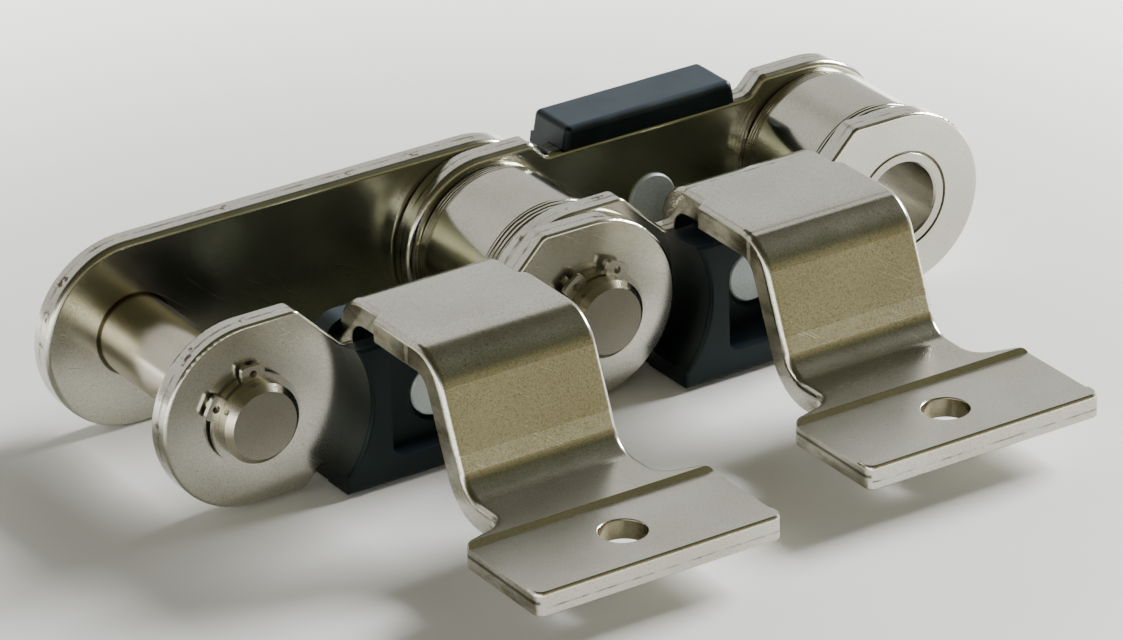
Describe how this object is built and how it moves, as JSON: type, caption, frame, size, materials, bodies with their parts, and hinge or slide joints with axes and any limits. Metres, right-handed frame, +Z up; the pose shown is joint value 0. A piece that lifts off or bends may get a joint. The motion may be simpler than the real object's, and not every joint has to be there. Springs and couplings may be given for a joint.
{
  "type": "conveyor chain section",
  "caption": "Section of a roller conveyor chain: an outer and an inner link with bent side attachments, rollers, ringed pins and plastic guide blocks.",
  "frame": {"origin": "centre of the free bush's bore, where the next link's pin goes", "axes": "+Y along the bush's bore, away from the attachments; +X along the chain from the outer link to the free bush; +Z up"},
  "size_m": [0.2496, 0.177, 0.0513],
  "materials": {
    "nickel_plate": "satin nickel plate",
    "pin_steel": "ground, nickel plated",
    "spring_steel": "plated spring steel",
    "bush_steel": "turned, nickel plated",
    "roller_steel": "turned, nickel plated",
    "black_plastic": "moulded, fine matt",
    "rivet_zinc": "zinc plated"
  },
  "bodies": {
    "outer_link": {"outer_plate_near": "nickel_plate", "outer_plate_far": "nickel_plate", "pin_a": "pin_steel", "pin_b": "pin_steel", "circlip_a_near": "spring_steel", "circlip_a_far": "spring_steel", "circlip_b_near": "spring_steel", "circlip_b_far": "spring_steel", "guide_block_outer_near": "black_plastic", "rivet_outer_near": "rivet_zinc"},
    "inner_link": {"inner_plate_near": "nickel_plate", "inner_plate_far": "nickel_plate", "bush_b": "bush_steel", "bush_c": "bush_steel", "guide_block_inner_near": "black_plastic", "guide_block_inner_far": "black_plastic", "rivet_inner_near": "rivet_zinc", "rivet_inner_far": "rivet_zinc"},
    "roller_b": {"roller_b": "roller_steel"},
    "roller_c": {"roller_c": "roller_steel"}
  },
  "joints": [
    {"name": "link_articulation", "type": "hinge", "parent": "outer_link", "child": "inner_link", "pos_m": [-0.1, 0, 0], "axis": [0, 1, 0], "range_deg": [-60, 60]},
    {"name": "roller_b_spin", "type": "hinge", "parent": "inner_link", "child": "roller_b", "pos_m": [-0.1, 0, 0], "axis": [0, 1, 0], "continuous": true},
    {"name": "roller_c_spin", "type": "hinge", "parent": "inner_link", "child": "roller_c", "pos_m": [0, 0, 0], "axis": [0, 1, 0], "continuous": true}
  ]
}
